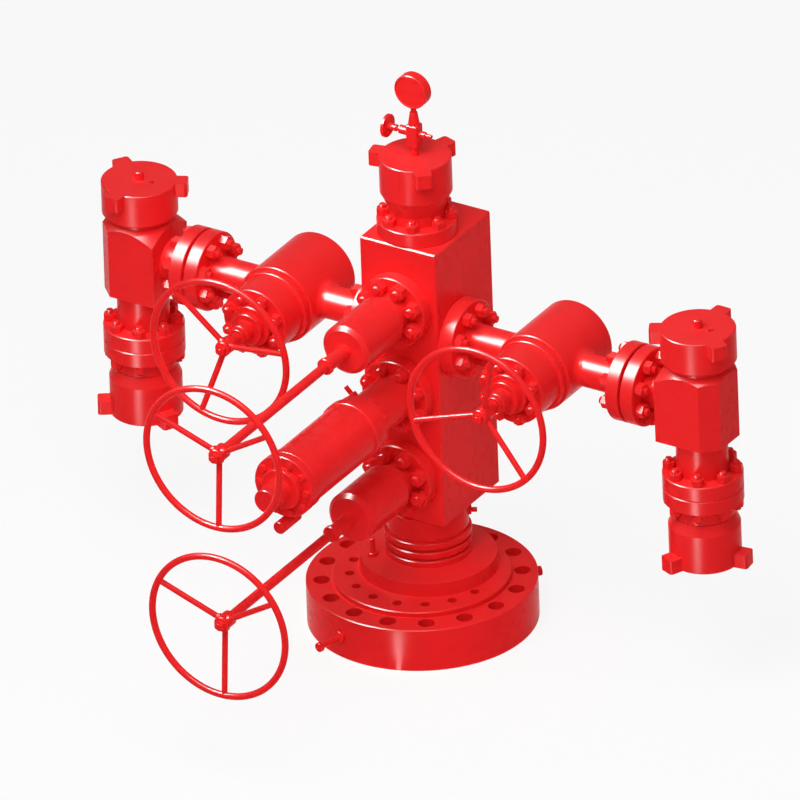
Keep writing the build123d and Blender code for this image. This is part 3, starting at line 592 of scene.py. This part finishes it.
# %% Model the studs
STUD_SIDES = 10
SLIT_STUD_R = 0.0110
PITCH = 0.0032
THREAD_DEPTH = 0.0011
THREAD_TURNS = 3
NUT_SMOOTH = math.radians(35)


def join(pieces):
    """Joins pieces into the first of them."""
    start_fresh()
    for piece in pieces:
        piece.select_set(True)
    bpy.context.view_layer.objects.active = pieces[0]
    if len(pieces) > 1:
        bpy.ops.object.join()
    return pieces[0]


def thread_up(stud, crest_r):
    """Adds ridges and a chamfer to the end of a bar that looks up."""
    root = 1 - THREAD_DEPTH / crest_r
    for _ in range(THREAD_TURNS):
        push_end(stud, 1, PITCH / 2, root)
        push_end(stud, 1, PITCH / 2, 1 / root)
    push_end(stud, 1, THREAD_DEPTH, root)


def nut_on_stud(name, flats, height, stud_r):
    """A hex nut with the threaded end of its stud standing out of it."""
    nut = hex_nut(name, flats, height)
    stud = new_cylinder("stud_end", STUD_SIDES, stud_r, height - PITCH, height)
    thread_up(stud, stud_r)
    return join([nut, stud])


def paint(pattern, finish, smooth_angle):
    """Smooths a pattern's shading up to an angle and gives it its finish."""
    join([pattern])
    bpy.ops.object.shade_smooth_by_angle(angle=smooth_angle)
    pattern.data.materials.clear()
    pattern.data.materials.append(finish)


bonnet_nut = nut_on_stud("bonnet_nut", flats=0.041, height=0.026, stud_r=0.0125)
wing_nut = nut_on_stud("wing_flange_nut", flats=0.036, height=0.024, stud_r=0.0110)
flange_nut = nut_on_stud("flange_nut", flats=0.033, height=0.022, stud_r=0.0100)
slit_stud = new_cylinder("slit_stud", STUD_SIDES, SLIT_STUD_R, -2 * PITCH, -1.5 * PITCH)
thread_up(slit_stud, SLIT_STUD_R)
patterns = [cap_screw, wheel_nut, bonnet_nut, wing_nut, flange_nut, slit_stud]
for pattern in patterns:
    paint(pattern, fastened, NUT_SMOOTH)
print("stud and nut faces:", {pattern.name: len(pattern.data.polygons) for pattern in patterns})

# %% [markdown]
# A flange is held by a ring of such nuts. Each ring is made by copying the nut's mesh round a circle
# and joining the copies, so that one ring is one piece at the origin, with its place in its mesh. The
# ring is then given to the body that it moves with, and it keeps the red paint of the nut's mesh.

# %% Rings of nuts
STUDS = 8
HALF_STEP = 180 / STUDS
TOP_CIRCLE_R = 0.097
BONNET_CIRCLE_R = 0.083
ACTUATOR_CIRCLE_R = 0.088

added = []


def facing_frame(point, axis):
    """A placing whose Z axis points along axis."""
    return Matrix.Translation(point) @ axis.to_track_quat("Z", "Y").to_matrix().to_4x4()


def add_copies(name, pattern, placings, body):
    """Copies a pattern to each placing and joins the copies into one piece that rides a body."""
    copies = []
    for index, placing in enumerate(placings):
        mesh = pattern.data.copy()
        mesh.transform(placing)
        copies.append(bpy.data.objects.new(f"{name}_{index}", mesh))
        bpy.context.scene.collection.objects.link(copies[-1])
    piece = join(copies)
    piece.name = name
    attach(piece, body)
    added.append(piece)


def ring(name, pattern, centre, axis, circle_r, count=STUDS, phase=HALF_STEP, body="tree"):
    """Copies a fastener round a circle about centre, standing on the face that looks along axis."""
    seat = facing_frame(centre, axis)
    out_to_circle = Matrix.Translation((circle_r, 0, 0))
    turns = (math.radians(phase) + 2 * math.pi * index / count for index in range(count))
    placings = [seat @ Matrix.Rotation(turn, 4, "Z") @ out_to_circle for turn in turns]
    add_copies(name, pattern, placings, body)


def flange_front(bonnet, height):
    """The middle of the front face of the flange that holds a bonnet to the block."""
    return Vector((tree.x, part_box(bonnet)[1].y - BONNET_FLANGE_T, height))


top_face = Vector((tree.x, tree.y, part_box("top_connector")[0].z + FLANGE_T))
ring("top_flange_nuts", flange_nut, top_face, UP, TOP_CIRCLE_R)
for valve in ("swab", "master"):
    face = flange_front(f"{valve}_bonnet", middle(f"{valve}_stem").z)
    ring(f"{valve}_bonnet_nuts", bonnet_nut, face, FRONT, BONNET_CIRCLE_R)
yoke_face = flange_front("actuator_bonnet", middle("actuator_cylinder").z)
ring("actuator_bonnet_nuts", flange_nut, yoke_face, FRONT, ACTUATOR_CIRCLE_R)
print("rings so far:", [piece.name for piece in added])

# %% [markdown]
# The wings have four joints a side: the flange on the block, the flange between the valve and the
# tee, the pair below the tee, and the valve's own bonnet. A joint between two flanges shows a nut at
# both ends of each stud, so it gets a ring on either face. The raised faces of the valve and the tee
# leave a narrow slit between their flanges, and the studs' threads show in it.

# %% Nuts on the wings and the tees
WING_CIRCLE_R = 0.087
WING_BONNET_CIRCLE_R = 0.082
LEG_CIRCLE_R = 0.096

for side, out in SIDES.items():
    body_low, body_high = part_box(f"{side}_wing_body")
    inner = body_low.x if side == "right" else body_high.x
    outer = body_high.x if side == "right" else body_low.x
    axis_point = Vector((0, tree.y, wing_z))
    joints = {
        "block_flange": (inner, 1, out),
        "valve_flange": (outer, -1, -out),
        "tee_flange": (outer, 1, out),
    }
    for joint, (x, step, facing_out) in joints.items():
        spot = axis_point + Vector((x, 0, 0)) + out * step * FLANGE_T
        ring(f"{side}_{joint}_nuts", wing_nut, spot, facing_out, WING_CIRCLE_R)
    slit = axis_point + Vector((outer, 0, 0))
    ring(f"{side}_slit_studs", slit_stud, slit, out, WING_CIRCLE_R)
    bonnet_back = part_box(f"{side}_wing_bonnet")[1].y
    front_face = Vector((middle(f"{side}_wing_stem").x, bonnet_back - WING_BONNET_T, wing_z))
    ring(f"{side}_bonnet_nuts", flange_nut, front_face, FRONT, WING_BONNET_CIRCLE_R)
    leg = middle(f"{side}_lower_sub")
    joint_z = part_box(f"{side}_lower_sub")[1].z
    for half, facing_up in (("upper", UP), ("lower", -UP)):
        spot = Vector((leg.x, leg.y, joint_z)) + facing_up * FLANGE_T
        ring(f"{side}_{half}_leg_nuts", flange_nut, spot, facing_up, LEG_CIRCLE_R)
print("rings:", len(added))

# %% [markdown]
# The actuator's end plate and its yoke's flange are held by small hex screws, and each handwheel by a
# nut on the end of its stem. The wheel nuts turn with their wheels, so they ride on those bodies.

# %% Small screws and wheel nuts
END_SCREWS = 10
END_CIRCLE_R = 0.078
YOKE_CIRCLE_R = 0.0765
PIN_END_L = 0.014
WHEEL_BODIES = {
    "swab": "swab_wheel",
    "master": "master_wheel",
    "left_wing": "left_wing_wheel",
    "right_wing": "right_wing_wheel",
}

cylinder_low, cylinder_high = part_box("actuator_cylinder")
end_face = Vector((tree.x, cylinder_low.y - END_FLANGE_T, yoke_face.z))
ring("actuator_end_screws", cap_screw, end_face, FRONT, END_CIRCLE_R, count=END_SCREWS, phase=0)
yoke_back = Vector((tree.x, cylinder_high.y + YOKE_FLANGE_T, yoke_face.z))
ring("actuator_yoke_screws", cap_screw, yoke_back, -FRONT, YOKE_CIRCLE_R)
for valve, body in WHEEL_BODIES.items():
    hub = middle(f"{valve}_stem")
    hub_front = Vector((hub.x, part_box(f"{valve}_stem")[0].y + PIN_END_L, hub.z))
    ring(f"{valve}_wheel_nut", wheel_nut, hub_front, FRONT, 0.0, count=1, phase=0, body=body)
print("fasteners:", len(added), "pieces")

# %% [markdown]
# The wheels' spokes are round bars welded into the hub, and each weld leaves a fillet round the bar.
# A torus would sit there like a ring. A fillet is wide at the hub and runs out to nothing along the
# bar, so it starts as a short collar, whose end is pushed out and drawn in twice. It is copied to the
# foot of each spoke, and the three of a wheel are joined and turn with it.

# %% Weld fillets on the handwheels
SPOKES = 3
SPOKE_R = 0.0085
SPOKE_RISE, RIM_R = 0.035, 0.218
SPOKE_LEAN = math.atan2(SPOKE_RISE, RIM_R)
HUB_R = 0.023
HUB_L = 0.050
FILLET = 0.005
FILLET_SIDES = 16
FILLET_SMOOTH = math.radians(60)
WAIST_SHARE, FIRST_RISE, SECOND_RISE = 0.35, 0.4, 0.8
SPOKE_TURNS = {"swab": 33, "master": 33, "left_wing": 12, "right_wing": 75}

collar_r = SPOKE_R + FILLET
waist_r = SPOKE_R + FILLET * WAIST_SHARE
fillet = new_cylinder("weld_fillet", FILLET_SIDES, collar_r, -FILLET / 2, 0)
push_end(fillet, 1, FILLET * FIRST_RISE, waist_r / collar_r)
push_end(fillet, 1, FILLET * SECOND_RISE, SPOKE_R / waist_r)
paint(fillet, handled, FILLET_SMOOTH)
patterns.append(fillet)
for valve, turn in SPOKE_TURNS.items():
    hub = middle(f"{valve}_stem")
    foot = Vector((hub.x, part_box(f"{valve}_handwheel")[1].y - HUB_L / 2, hub.z))
    placings = []
    for arm in range(SPOKES):
        around = math.radians(turn + 360 / SPOKES * arm)
        level = Vector((math.cos(around), 0, math.sin(around)))
        along = (level * math.cos(SPOKE_LEAN) + FRONT * math.sin(SPOKE_LEAN)).normalized()
        placings.append(facing_frame(foot + along * HUB_R, along))
    add_copies(f"{valve}_wheel_welds", fillet, placings, WHEEL_BODIES[valve])
print("welds on", len(SPOKE_TURNS), "wheels")

# %% [markdown]
# The patterns were only for copying, so they go.

# %% Finish
for pattern in patterns:
    bpy.data.objects.remove(pattern)
print("added faces:", sum(len(piece.data.polygons) for piece in added))
